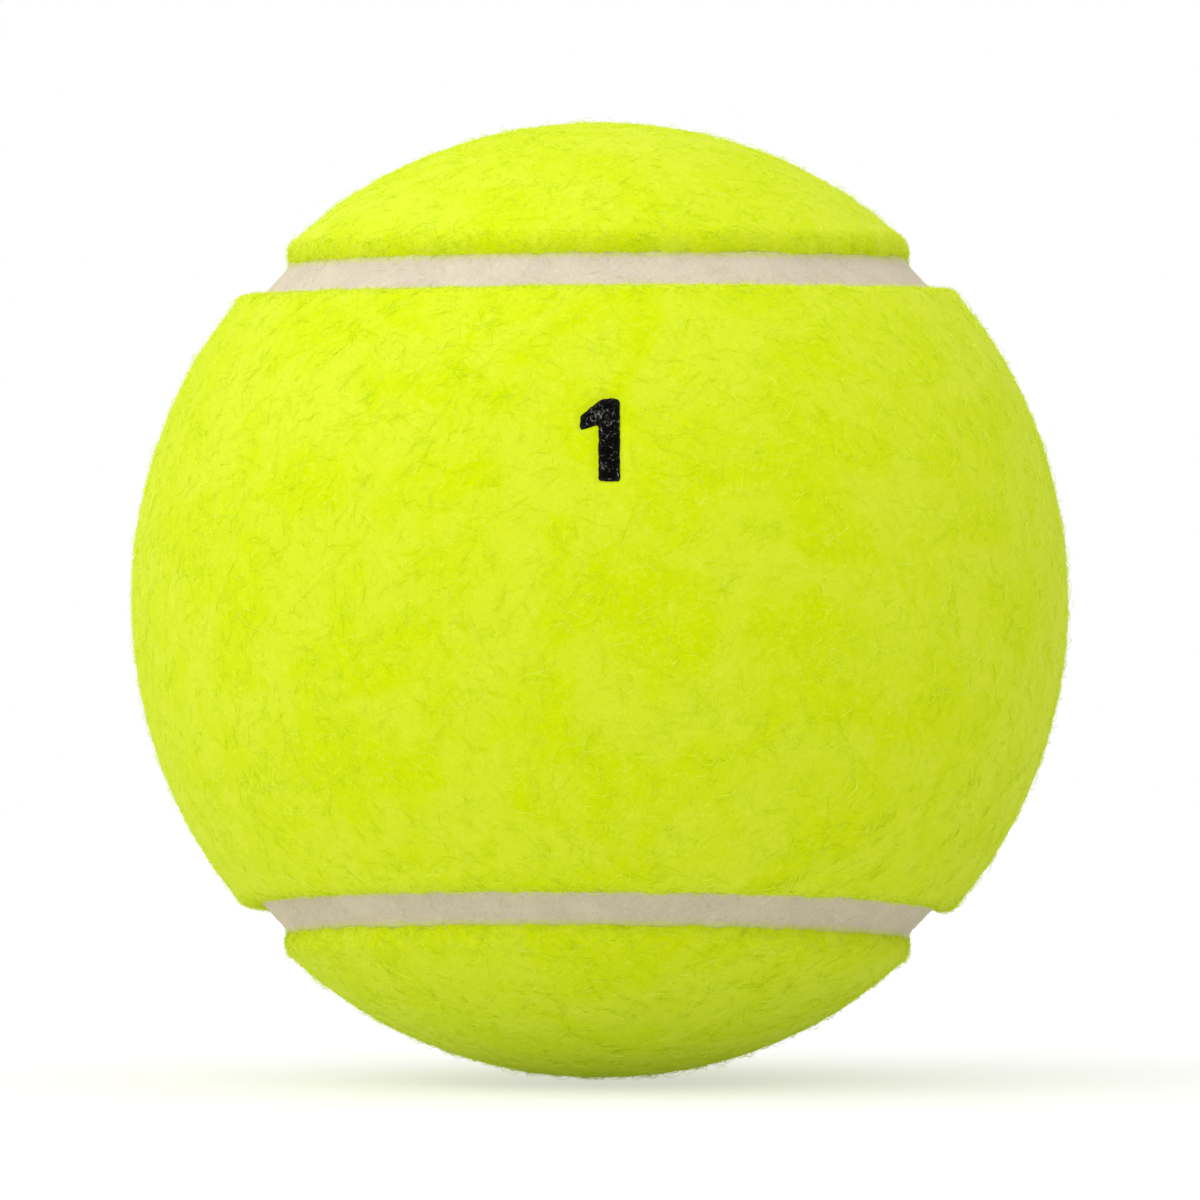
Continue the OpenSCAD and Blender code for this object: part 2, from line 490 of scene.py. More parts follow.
def panel_rings(side):
    """Rows of points round a panel's edge, from its back up the wall and over the shoulder."""
    seed = PANEL_SEEDS[side]
    wander = rough(line, WANDER_SIZE, 2, seed)
    wander = wander + FINE_WANDER_SHARE * rough(line, FINE_WANDER_SIZE, 2, seed + 3)
    trim = WANDER * wander + trimmed(line, side == "front")
    wall = ball_r - EDGE_ROUND
    wall_side = wall * math.sin(seam_half)
    section = [(wall_side, felt_in_r), (wall_side, (felt_in_r + wall) / 2)]
    for t in np.linspace(0, math.pi / 2, SHOULDER_ROWS):
        section.append((wall_side + EDGE_ROUND * (1 - math.cos(t)),
                        wall * math.cos(seam_half) + EDGE_ROUND * math.sin(t)))
    rings = []
    for aside, out in section:
        aside = aside + trim * (out > felt_in_r)
        rings.append(seam_ways(np.arctan2(aside, out)) * np.hypot(aside, out)[:, None])
    return rings


def panel_shape(side):
    """Points, strips of the edge, and triangles of the outside and the back of one panel."""
    rings = panel_rings(side)
    least = seam_half + (EDGE_ROUND + TRIM + WANDER + 0.6 * FELT_SPACING) / ball_r
    places = even_places(FELT_SPACING, least)
    if side == "front":  # finer where the figure is
        fine = even_places(FIGURE_SPACING, least)
        places = np.concatenate([places[~beside_figure(places)], fine[beside_figure(fine)]])
    back = even_places(BACK_SPACING, seam_half + BACK_SPACING / ball_r / 2)
    outer = joined(to_map(unit(rings[-1])), places) + (len(rings) - 1) * seam_points
    inner = joined(to_map(unit(rings[0])), back)
    inner[inner >= seam_points] += (len(rings) - 1) * seam_points + len(places)
    points = np.concatenate([*rings, from_map(places) * ball_r, from_map(back) * felt_in_r])
    nap_share = np.linalg.norm(points, axis=1) - felt_in_r
    nap_share = np.clip(nap_share / (ball_r - felt_in_r), 0, 1)
    nap_share[-len(back) :] = 0
    if side == "back":
        points = turned_over(points)
    height = nap_share * felt_height(unit(points), PANEL_SEEDS[side])
    return stretched(points * (1 + height / ball_r)[:, None]), strips(len(rings)), outer, inner


shapes = {side: panel_shape(side) for side in PANEL_SEEDS}
for side, shape in shapes.items():
    print(f"{side} felt: {len(shape[0])} points, {len(shape[2])} triangles outside")

# %% [markdown]
# ## Making a look
# Every material of the ball is a Principled shader that reads the place on it in millimetres,
# so that a pattern's scale is one over its real size. Two ways of painting are enough: to go
# softly from one shade to another, and to lay a colour on where a pattern says so.

# %% Materials and ways of painting
RANGE = "ShaderNodeMapRange"


def new_material(name, look, *shades):
    """A material. Its look turns the place in millimetres into the Principled inputs."""
    made = bpy.data.materials.new(name)
    tree = empty_tree(made)
    place = add(tree, "ShaderNodeTexCoord", give="Object")
    place = add(tree, VECTOR, {0: place, "Scale": 1 / MM}, operation="SCALE")
    shader = add(tree, "ShaderNodeBsdfPrincipled", look(tree, place, *shades))
    add(tree, "ShaderNodeOutputMaterial", {"Surface": shader})
    print("made", name)
    return made


def shaded(tree, level, low, high, first, second, most=1.0):
    """Goes softly from one shade to another, or a share of the way, as a level rises."""
    share = add(tree, RANGE, {"Value": level, "From Min": low, "From Max": high, "To Max": most},
                interpolation_type="SMOOTHSTEP")
    return add(tree, "ShaderNodeMix", {0: share, 6: first, 7: second}, 2, data_type="RGBA")


def laid_on(tree, shade, pattern, strength, code):
    """Lays a colour on a shade where a pattern from 0 to 1 says so, at most this strongly."""
    share = add(tree, MATH, [pattern, strength], operation="MULTIPLY")
    return add(tree, "ShaderNodeMix", {0: share, 6: shade, 7: code}, 2, data_type="RGBA")


def where_both(tree, *steps):
    """Pattern that is 1 where two levels have each passed a soft step from a start to an end."""
    first, second = (
        add(tree, RANGE, {"Value": level, "From Min": start, "From Max": end},
            interpolation_type="SMOOTHSTEP") for level, start, end in steps)
    return add(tree, MATH, [first, second], operation="MULTIPLY")


def hairs(tree, place, size, thin, shift):
    """Pattern of fine curly lines, which run where a noise passes through its middle value."""
    moved = add(tree, VECTOR, [place, (shift, 2 * shift, -shift)])
    level = add(tree, NOISE, {"Vector": moved, "Scale": 1 / size, "Detail": 1, "Distortion": 1.2})
    off = add(tree, MATH, [level, 0.5], operation="SUBTRACT")
    off = add(tree, MATH, [off], operation="ABSOLUTE")
    gaps = add(tree, NOISE, {"Vector": moved, "Scale": 1 / (0.7 * size)})
    return where_both(tree, (off, thin, 0), (gaps, 0.42, 0.56))


def specks(tree, place, apart, small, large, patch, sparse):
    """Pattern of small round specks in patches, with sizes in mm, and shares of the spacing."""
    dots = add(tree, "ShaderNodeTexVoronoi", {"Vector": place, "Scale": 1 / apart})
    patches = add(tree, NOISE, {"Vector": place, "Scale": 1 / patch})
    return where_both(tree, (dots, large, small), (patches, sparse, 0.6))


print(f"a pattern of 0.9 mm has a scale of {1 / 0.9:.2f}")

# %% [markdown]
# ## The look of felt
# Optic yellow felt is dyed wool and nylon. Its nap is so dense that light bounces about in it,
# so it looks smooth and soft, with pale wisps where fibres lie on top and deeper yellow-green
# where the eye sees down between them. The material paints both into the felt's colour: the
# pale wisps are painted light, and the deeper mottle, the dark wisps and the pits are painted
# shade. It has no gloss, only the faint pale sheen of fibre ends towards the rim. Real fibres
# are 0.02 to 0.03 mm thick, which is finer than the render shows, so the wisps are drawn three
# times as coarse.

# %% Felt material
# The first of these is painted shade: the deeper mottle where the nap lies lower
FELT_PAINTED_SHADE, FELT_MID, FELT_PALE = "D5E900", "D9EC00", "E0EF38"


def felt_look(tree, place):
    """Dyed wool with paler clouds, painted shade in a deeper mottle, dark wisps below and dark
    pits, and painted light in pale wisps on top.
    """
    mottle, clouds, grain = (
        add(tree, NOISE, {"Vector": place, "Scale": 1 / size, "Detail": 3, "Distortion": bent})
        for size, bent in ((0.9, 0.8), (5, 0.6), (0.2, 0.5)))
    # Painted shade: the deeper shade goes where the mottle, which is also the relief, is low
    shade = shaded(tree, mottle, 0.35, 0.65, FELT_PAINTED_SHADE, FELT_MID)
    shade = shaded(tree, clouds, 0.35, 0.65, shade, FELT_PALE, 0.65)
    # Painted shade: dark wisps where the eye sees down between the fibres
    for size, shift in ((0.8, 37), (1.0, 51)):
        shade = laid_on(tree, shade, hairs(tree, place, size, 0.03, shift), 0.15, "B9CE00")
    relief = add(tree, MATH, [grain, 0.4, mottle], operation="MULTIPLY_ADD")
    # Painted light: pale wisps where fibres on top catch the light; they also raise the relief
    for size, shift in ((1.4, 3), (0.9, 11), (1.1, 23)):
        lit_wisp = hairs(tree, place, size, 0.035, shift)
        shade = laid_on(tree, shade, lit_wisp, 0.34, "E8F544")
        relief = add(tree, MATH, [lit_wisp, 0.4, relief], operation="MULTIPLY_ADD")
    # Painted shade: dark specks in small pits of the nap
    pit_shade = specks(tree, place, 0.8, 0.05, 0.13, 2, 0.5)
    shade = laid_on(tree, shade, pit_shade, 0.14, "8FA800")
    normal = add(tree, "ShaderNodeBump", {"Height": relief, "Distance": 0.006 * MM})
    return {"Base Color": shade, "Normal": normal, "Roughness": 1.0, "Specular IOR Level": 0.02,
            "Sheen Weight": 0.13, "Sheen Roughness": 0.5, "Sheen Tint": "F4F6D0"}


felt = new_material("Felt, wool and nylon, optic yellow", felt_look)

# %% Make the two felt pieces
WALL_STRIPS = 2  # the panel's edge has two strips of wall below its shoulder


def felt_piece(name, shape, node):
    """A felt panel, with its nap and its shoulder marked for the fibres."""
    points, edge, outer, inner = shape
    piece = new_piece(name, points, [edge, outer, inner[:, ::-1]], felt)
    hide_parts(node)
    strip = np.arange(len(edge)) // seam_points
    whole, none = np.ones(len(outer), bool), np.zeros(len(inner), bool)
    mark_faces(piece, "shoulder", np.r_[strip >= WALL_STRIPS, ~whole, none])
    mark_faces(piece, "nap", np.r_[strip >= WALL_STRIPS - 1, whole, none])
    return piece


felt_pieces = {
    side: felt_piece(f"felt_{side}", shapes[side], f"felt_panel_{side}") for side in shapes
}
for side, piece in felt_pieces.items():
    print(side, "felt has", len(piece.data.polygons), "faces")

# %% [markdown]
# ## The fibres
# The nap is curly fibres that lie over one another in loose swirls. Down stands up from it,
# wisps are long and pale, fuzz stands off in loops, and a dense fringe covers the cut edges.
# Geometry Nodes grow them all: points are scattered on the felt, a short line is laid on each
# along a slow swirl, noise bends it, the line is drawn halfway down to the felt again, and a
# three-sided tube is swept along it. Three sides are enough, because a fibre is about one
# pixel wide. Real fibres are 0.02 to 0.03 mm thick, and these are up to twice as thick and
# fewer, because finer ones wouldn't show.

# %% Inputs of the fibre tree
RANDOM = "FunctionNodeRandomValue"
LENGTHS = "Length", "Thickness", "Curl", "Curl Size", "Lift", "Loop"  # metres
SHARES = "Combed", "Stand", "Flatness"
fibres = bpy.data.node_groups.new("Felt fibres", "GeometryNodeTree")
for kind, names in (("Geometry", ("Surface",)), ("String", ("Grow On",)),
                    ("Float", ("Per Square Metre", *LENGTHS, *SHARES)),
                    ("Int", ("Rings", "Seed")), ("Material", ("Material",))):
    for name in names:
        fibres.interface.new_socket(name, in_out="INPUT", socket_type=f"NodeSocket{kind}")
fibres.interface.new_socket("Fibres", in_out="OUTPUT", socket_type="NodeSocketGeometry")
given = add(fibres, "NodeGroupInput").node.outputs
print("the fibre tree takes", ", ".join(LENGTHS + SHARES))

# %% Scatter lines and lay each its own way
SWIRL = 9 * MM
on_face = add(fibres, "GeometryNodeInputNamedAttribute", {"Name": given["Grow On"]},
              data_type="BOOLEAN")
roots = add(fibres, "GeometryNodeDistributePointsOnFaces",
            {"Mesh": given["Surface"], "Selection": on_face, "Seed": given["Seed"],
             "Density": given["Per Square Metre"]})
index = add(fibres, "GeometryNodeInputIndex")
position = add(fibres, "GeometryNodeInputPosition")
swirl = add(fibres, NOISE, {"Vector": position, "Scale": 1 / SWIRL}, "Color")
swirl = add(fibres, VECTOR, [swirl, (0.5, 0.5, 0.5)], operation="SUBTRACT")
laid = add(fibres, "FunctionNodeAlignRotationToVector",
           {"Rotation": roots.node.outputs["Rotation"], "Vector": swirl}, axis="X",
           pivot_axis="Z")
loose = add(fibres, MATH, [1.0, given["Combed"]], operation="SUBTRACT")
for share, widest, axis, seed in ((loose, (-math.pi, math.pi), (0, 0, 1), 1),
                                  (given["Stand"], (0.0, -math.pi / 2), (0, 1, 0), 6)):
    angle = add(fibres, RANDOM, {2: widest[0], 3: widest[1], "ID": index, "Seed": seed}, 1,
                data_type="FLOAT")
    angle = add(fibres, MATH, [share, angle], operation="MULTIPLY")
    turn = add(fibres, "FunctionNodeAxisAngleToRotation", {"Axis": axis, "Angle": angle})
    laid = add(fibres, "FunctionNodeRotateRotation", {"Rotation": laid, "Rotate By": turn},
               rotation_space="LOCAL")
length = add(fibres, RANDOM, {2: 0.6, 3: 1.4, "ID": index, "Seed": 2}, 1, data_type="FLOAT")
length = add(fibres, MATH, [given["Length"], length], operation="MULTIPLY")
straight = add(fibres, "GeometryNodeCurvePrimitiveLine",
               {"Start": (-0.5, 0, 0), "End": (0.5, 0, 0)})
straight = add(fibres, "GeometryNodeResampleCurve", {"Curve": straight, "Count": given["Rings"]})
placed = add(fibres, "GeometryNodeInstanceOnPoints",
             {"Points": roots, "Instance": straight, "Rotation": laid, "Scale": length})
lines = add(fibres, "GeometryNodeRealizeInstances", {"Geometry": placed})
print("the tree lays straight lines with", len(fibres.nodes), "nodes")

# %% Curl each line by noise, with a random place in the noise for each
OWN_PLACES = 50
owner = add(fibres, "GeometryNodeCurveOfPoint")
own_place = add(fibres, RANDOM, {0: (-OWN_PLACES,) * 3, 1: (OWN_PLACES,) * 3, "ID": owner,
                                 "Seed": 3}, data_type="FLOAT_VECTOR")
finer = add(fibres, MATH, [1.0, given["Curl Size"]], operation="DIVIDE")
spot = add(fibres, VECTOR, {0: position, "Scale": finer}, operation="SCALE")
spot = add(fibres, VECTOR, [spot, own_place])
bends = add(fibres, NOISE, {"Vector": spot, "Scale": 1.0, "Detail": 1.0}, "Color")
bends = add(fibres, VECTOR, [bends, (0.5, 0.5, 0.5)], operation="SUBTRACT")
strength = add(fibres, MATH, [given["Curl"], 2.0], operation="MULTIPLY")
bends = add(fibres, VECTOR, {0: bends, "Scale": strength}, operation="SCALE")
curled = add(fibres, "GeometryNodeSetPosition", {"Geometry": lines, "Offset": bends})
print("with the curl it has", len(fibres.nodes), "nodes")

# %% Draw the lines halfway down to the felt, then raise them by their lift and their loop
nearest = add(fibres, "GeometryNodeProximity",
              {"Geometry": given["Surface"], "Sample Position": position},
              target_element="FACES")
halfway = add(fibres, "ShaderNodeMix", {0: 0.5, 4: position, 5: nearest}, 1,
              data_type="VECTOR", factor_mode="UNIFORM")
along = add(fibres, "GeometryNodeSplineParameter")
arch = add(fibres, MATH, [along, math.pi], operation="MULTIPLY")
arch = add(fibres, MATH, [arch], operation="SINE")
own_arch = add(fibres, RANDOM, {2: 0.0, 3: 1.0, "ID": owner, "Seed": 4}, 1, data_type="FLOAT")
arch = add(fibres, MATH, [arch, own_arch], operation="MULTIPLY")
height = add(fibres, MATH, [arch, given["Loop"], given["Lift"]], operation="MULTIPLY_ADD")
out = add(fibres, VECTOR, [position], operation="NORMALIZE")
raised = add(fibres, VECTOR, {0: out, "Scale": height}, operation="SCALE")
raised = add(fibres, VECTOR, [halfway, raised])
settled = add(fibres, "GeometryNodeSetPosition", {"Geometry": curled, "Position": raised})
print("with the settling it has", len(fibres.nodes), "nodes")

# %% Sweep a tube that thins towards its ends, pressed flat towards the felt
upright = add(fibres, "GeometryNodeSetCurveNormal", {"Curve": settled, "Normal": out},
              mode="FREE")
radius = along
for operation, *values in (("MULTIPLY_ADD", 2.0, -1.0), ("ABSOLUTE",), ("POWER", 3.0),
                           ("MULTIPLY_ADD", -0.6, 1.0), ("MULTIPLY", given["Thickness"]),
                           ("MULTIPLY", 0.5)):
    radius = add(fibres, MATH, [radius, *values], operation=operation)
ring = add(fibres, "GeometryNodeCurvePrimitiveCircle", {"Resolution": 3, "Radius": 1.0})
pressed = add(fibres, "ShaderNodeCombineXYZ", [given["Flatness"], 1.0, 1.0])
ring = add(fibres, "GeometryNodeTransform", {"Geometry": ring, "Scale": pressed})
tubes = add(fibres, "GeometryNodeCurveToMesh", {"Curve": upright, "Profile Curve": ring,
                                                "Scale": radius, "Fill Caps": True})
tubes = add(fibres, "GeometryNodeRealizeInstances", {"Geometry": tubes})
tubes = add(fibres, "GeometryNodeSetMaterial", {"Geometry": tubes, "Material": given["Material"]})
add(fibres, "NodeGroupOutput", {"Fibres": tubes})
print("the whole fibre tree has", len(fibres.nodes), "nodes")

# %% [markdown]
# The tree's fibres are turned into plain arrays: for each fibre its rings, and for each ring
# its three corners. Then those that would cross the ink or bridge the seam are easy to leave
# out, and the rest is cut into pieces of a handy size.

# %% Grow fibres on a surface
def grown(surface, finish, per_mm2, grow_on="nap", **sizes):
    """Corners of fibres of these sizes in mm, as an array of fibre, ring, corner and x, y, z."""
    worker = surface.copy()
    scene.collection.objects.link(worker)
    modifier = worker.modifiers.new("Fibres", "NODES")
    modifier.node_group = fibres
    wanted = {name.replace("_", " ").title(): value for name, value in sizes.items()}
    wanted |= {name: wanted[name] * MM for name in LENGTHS if name in wanted}
    wanted |= {"Per Square Metre": per_mm2 / MM**2, "Grow On": grow_on, "Material": finish}
    for item in fibres.interface.items_tree:  # a size that isn't given stays 0
        if item.in_out == "INPUT" and item.name in wanted:
            modifier[item.identifier] = wanted.pop(item.name)
    assert not wanted, wanted
    ready = worker.evaluated_get(bpy.context.evaluated_depsgraph_get())
    mesh = bpy.data.meshes.new_from_object(ready)
    corners = np.empty(3 * len(mesh.vertices))
    mesh.vertices.foreach_get("co", corners)
    bpy.data.objects.remove(worker)
    bpy.data.meshes.remove(mesh)
    return corners.reshape(-1, sizes["rings"], 3, 3)


def tube_faces(rings):
    """Sides and ends of one closed three-sided tube."""
    sides = [[3 * r + c, 3 * r + (c + 1) % 3, 3 * r + 3 + (c + 1) % 3, 3 * r + 3 + c]
             for r in range(rings - 1) for c in range(3)]
    last = 3 * (rings - 1)
    return np.array(sides), np.array([[0, 2, 1], [last, last + 1, last + 2]])


def tube_triangles(rings):
    """How many triangles one tube has."""
    return 6 * (rings - 1) + 2


def fibre_piece(name, corners, finish):
    """One piece of many fibres."""
    count, rings = corners.shape[:2]
    sides, ends = tube_faces(rings)
    first = corners[0]
    ahead = first[1].mean(axis=0) - first[0].mean(axis=0)
    around = np.cross(first[0, 1] - first[0, 0], first[0, 2] - first[0, 0])
    if around @ ahead < 0:  # the corners run round the other way
        sides, ends = sides[:, ::-1], ends[:, ::-1]
    starts = np.arange(count)[:, None, None] * rings * 3
    faces = [(sides + starts).reshape(-1, 4), (ends + starts).reshape(-1, 3)]
    print(f"{name}: {count} fibres, {count * tube_triangles(rings)} triangles")
    return new_piece(name, corners.reshape(-1, 3), faces, finish, smooth=False)


print("a tube of three rings has", tube_triangles(3), "triangles")

# %% Fibres to leave out
BURIED = 0.1 * MM  # above the seam's face. A fibre that is lower doesn't show
BETWEEN = 0, 1 / 3, 2 / 3, 1  # places from a ring of a fibre to the next


def overhang(corners, front):
    """How far each fibre is seen to reach over the groove, past the edge of the nap."""
    middles = corners.mean(axis=2)
    ways = unit(middles)
    aside = beside_seam(ways) * (1 if front else -1) * ball_r
    over = SEAM_WIDTH / 2 + trimmed(ways, front) - aside
    over[np.linalg.norm(middles, axis=-1) < seam_r + BURIED] = -1
    return over.max(axis=1)


def off_the_ink(corners):
    """Which fibres stay outside the figure, at their rings and between them."""
    middles = corners.mean(axis=2)
    start, end = middles[:, :-1], middles[:, 1:]
    middles = np.concatenate([start + (end - start) * share for share in BETWEEN], axis=1)
    keep = np.ones(len(middles), bool)
    near = middles[:, 0] @ figure_out > NEAR_FIGURE * ball_r
    if near.any():
        places = on_figure_plane(middles[near].reshape(-1, 3))
        keep[near] = inside(places, outline).reshape(-1, middles.shape[1]).max(axis=1) < 0
    return keep


print(f"what lies under {(seam_r + BURIED) / MM:.1f} mm from the centre bridges nothing")

# %% [markdown]
# A single fibre is dyed through and has a little sheen. The fibres that lie deep in the nap
# are as yellow as it is. The down, the wisps, the fuzz and the fringe are painted paler: this
# is painted light, for fibres on top that catch the light.

# %% Materials of the fibres
def fibre_look(tree, place, deep, pale):
    """Dyed fibre: two close shades in soft patches, no gloss, and a faint sheen. Paler shades
    given to fibres on top are painted light.
    """
    patches = add(tree, NOISE, {"Vector": place, "Scale": 1 / 1.2})
    return {"Base Color": shaded(tree, patches, 0.35, 0.65, deep, pale), "Roughness": 0.9,
            "Specular IOR Level": 0.05, "Sheen Weight": 0.05, "Sheen Roughness": 0.5,
            "Sheen Tint": "F2F7B0"}


nap_fibre = new_material("Felt fibre, optic yellow", fibre_look, FELT_MID, "DDEF10")
# Painted light: the paler shades of the down and wisps, the fuzz and the fringe
lit_fibre = new_material("Felt fibre, painted lit on top", fibre_look, "DCEF12", "E3F22A")
fuzz_fibre = new_material("Felt fibre, raised ends", fibre_look, "DEF334", "E7F662")
fringe_fibre = new_material("Felt fibre, cut ends", fibre_look, "DCEC18", "E8F150")
lint_fibre = new_material("Felt fibre, caught in the seam", fibre_look, "DADB8C", "E8E4BC")

# %% Grow the nap
PIECE_TRIANGLES = 190_000
NAP_SEEDS = {"front": 41, "back": 57}
REACH, LONG_REACH, LONG_SHARE = 0.2 * MM, 0.9 * MM, 0.02  # over the groove, for most and few
FRINGE_REACH, FRINGE_MOST = 0.3 * MM, 1.1 * MM  # on average past REACH, and the most in all
kinds = {  # sizes in millimetres
    "down": dict(per_mm2=2.0, length=0.75, thickness=0.035, curl=0.25, curl_size=0.4,
                 stand=1.0, flatness=1.0, rings=3, finish=lit_fibre),
    "nap": dict(per_mm2=1.0, length=1.6, thickness=0.06, curl=0.7, curl_size=1.3, combed=0.6,
                lift=0.004, loop=0.008, flatness=0.2, rings=4, finish=nap_fibre),
    "wisps": dict(per_mm2=0.8, length=2.4, thickness=0.045, curl=0.9, curl_size=1.4, combed=0.7,
                  lift=0.008, loop=0.015, flatness=0.25, rings=6, finish=lit_fibre),
    "fuzz": dict(per_mm2=0.45, length=1.5, thickness=0.03, curl=0.5, curl_size=0.8, combed=0.2,
                 loop=0.4, flatness=1.0, rings=6, finish=fuzz_fibre),
    "fringe": dict(per_mm2=21, length=1.15, thickness=0.03, curl=0.3, curl_size=0.5, stand=1.0,
                   flatness=0.8, rings=3, grow_on="shoulder", finish=fringe_fibre),
}
rng = np.random.default_rng(5)
total = 0
for side, surface in felt_pieces.items():
    front = side == "front"
    for kind, sizes in kinds.items():
        corners = grown(surface, seed=NAP_SEEDS[side], **sizes)
        if kind == "fringe":
            most = np.minimum(rng.exponential(FRINGE_REACH, len(corners)) + REACH, FRINGE_MOST)
        else:
            most = np.where(rng.random(len(corners)) < LONG_SHARE, LONG_REACH, REACH)
        keep = overhang(corners, front) < most
        if front:
            keep &= off_the_ink(corners)
        corners = corners[keep]
        triangles = len(corners) * tube_triangles(sizes["rings"])
        middle = corners.mean(axis=(1, 2))
        order = np.argsort(to_map(middle if front else turned_over(middle))[:, 0])
        groups = np.array_split(order, math.ceil(triangles / PIECE_TRIANGLES))
        for i, group in enumerate(groups):
            made = fibre_piece(f"felt_{kind}_{side}_{i + 1}", corners[group], sizes["finish"])
            # Light passes a loose fibre, which is finer than its tube, but not the dense edge
            made.visible_shadow = kind == "fringe"
        total += triangles
print("triangles in the fibres:", total)

# %% [markdown]
# ## The seam
# The seam is rubber that was poured as a solution and cured in the mould, so its face is matt
# and not quite even, and it climbs a little up the cut edges of the felt. It has fine specks
# of filler, and yellow lint of the nap sticks to it, most of it along both edges. Its section
# is drawn across the seam and carried round the ball.

# %% Seam rubber's material
def seam_look(tree, place):
    """Cured rubber: chalky off-white, clouded and hairy, specked, and stained by the nap."""
    clouds, ragged, grain, swell = (
        add(tree, NOISE, {"Vector": place, "Scale": 1 / size, "Detail": detail})
        for size, detail in ((3, 3), (0.25, 3), (0.2, 3), (1.1, 2)))
    shade = shaded(tree, clouds, 0.35, 0.65, "D5C7B6", "DDCFBD")
    for shift, strength, code in ((5, 0.35, "BBAD98"), (17, 0.4, "E9E1CF"), (29, 0.4, "E2DCAE")):
        shade = laid_on(tree, shade, hairs(tree, place, 0.7, 0.04, shift), strength, code)
    filler = specks(tree, place, 0.6, 0.06, 0.14, 1.5, 0.55)
    shade = laid_on(tree, shade, filler, 0.5, "B49C82")
    beside = add(tree, "ShaderNodeAttribute", give="Fac", attribute_name="beside")
    ragged = add(tree, MATH, [ragged, 0.8, beside], operation="MULTIPLY_ADD")
    shade = shaded(tree, ragged, 1.5, 2.15, shade, "D3DC50", 0.75)
    relief = add(tree, MATH, [swell, grain], operation="ADD")
    normal = add(tree, "ShaderNodeBump", {"Height": relief, "Distance": 0.035 * MM})
    return {"Base Color": shade, "Normal": normal, "Roughness": 0.85, "Specular IOR Level": 0.3}


seam_rubber = new_material("Seam rubber, cured, matt off-white", seam_look)

# %% Seam rubber
SEAM_OVERLAP = TRIM + 2 * WANDER  # how far it reaches under the wandering edge of the felt
SEAM_ROWS = 17
CLIMB, CLIMB_FROM = 0.12 * MM, 0.75  # up to the groove's wall, from this share of the way
UNEVEN, UNEVEN_SIZE = 0.02 * MM, 0.9 * MM
half = SEAM_WIDTH / 2 + SEAM_OVERLAP
section = []  # to the side, out from the centre, and how uneven it is
for share in np.linspace(-1, 1, SEAM_ROWS):
    beyond = max(0, abs(share) * half / (SEAM_WIDTH / 2) - CLIMB_FROM)
    section.append((share * half, seam_r + CLIMB * beyond / (1 - CLIMB_FROM), UNEVEN))
section += [(half, coat_r, 0.0), (-half, coat_r, 0.0)]
rows = []
for aside, out, uneven in section:
    ways = seam_ways(np.full(seam_points, math.atan2(aside, out)))
    radius = math.hypot(aside, out) + uneven * rough(ways, UNEVEN_SIZE, 2, 77)
    rows.append(stretched(ways * radius[:, None]))
faces = strips(len(rows) + 1) % (len(rows) * seam_points)
seam = new_piece("seam", np.concatenate(rows), [faces[:, ::-1]], seam_rubber)
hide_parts("seam_rubber")
beside = np.repeat([abs(aside) / MM for aside, _, _ in section], seam_points)
seam.data.attributes.new("beside", "FLOAT", "POINT").data.foreach_set("value", beside)
mark_faces(seam, "nap", np.arange(len(faces)) < (SEAM_ROWS - 1) * seam_points)
print("the seam has", len(seam.data.polygons), "faces")

# %% Lint on the seam
LINT_SHARE, LINT_EDGE_SHARE = 0.12, 0.5  # how much stays in the middle, and more at the edges
lint = grown(seam, lint_fibre, per_mm2=5, length=1.1, thickness=0.035, curl=0.5,
             curl_size=0.7, lift=0.012, loop=0.03, flatness=0.5, rings=5, seed=71)
from_middle = np.abs(beside_seam(unit(lint.mean(axis=(1, 2))))) * ball_r / (SEAM_WIDTH / 2)
lint = lint[rng.random(len(lint)) < LINT_SHARE + LINT_EDGE_SHARE * from_middle**6]
fibre_piece("seam_lint", lint, lint_fibre)

# %% [markdown]
# ## The printed number
# The ink is a film that was pressed into the nap with heat. It mats the fibres down and coats
# them black, so the figure is a dark half-gloss patch in which curled fibres catch the light.
# The film is a thin closed solid that follows the felt. Short black fibres lie on it, and in
# patches some of them are painted pale grey: a painted glint, for light off curled glossy fibres.

# %% Materials of the ink
def ink_look(tree, place):
    """Transfer ink: near black, half gloss, with a fine grain of matted fibres."""
    patches = add(tree, NOISE, {"Vector": place, "Scale": 1 / 0.5})
    grain = add(tree, NOISE, {"Vector": place, "Scale": 1 / 0.22, "Detail": 3, "Distortion": 0.8})
    normal = add(tree, "ShaderNodeBump", {"Height": grain, "Distance": 0.06 * MM})
    return {"Base Color": shaded(tree, patches, 0.3, 0.7, "050504", "0D0C0B"), "Normal": normal,
            "Roughness": 0.5, "Specular IOR Level": 0.12}


def glint_ink_look(tree, place):
    """Painted glint: ink painted grey and pale in spots, and glossier, for light glinting off
    single fibres.
    """
    glint_spots = add(tree, NOISE, {"Vector": place, "Scale": 1 / 0.25, "Detail": 1})
    return {"Base Color": shaded(tree, glint_spots, 0.45, 0.6, "201F1D", "B8B6B2"),
            "Roughness": 0.35, "Specular IOR Level": 0.4}


ink = new_material("Transfer ink, black, half gloss", ink_look)
glint_ink = new_material("Transfer ink, painted glint on raised fibres", glint_ink_look)

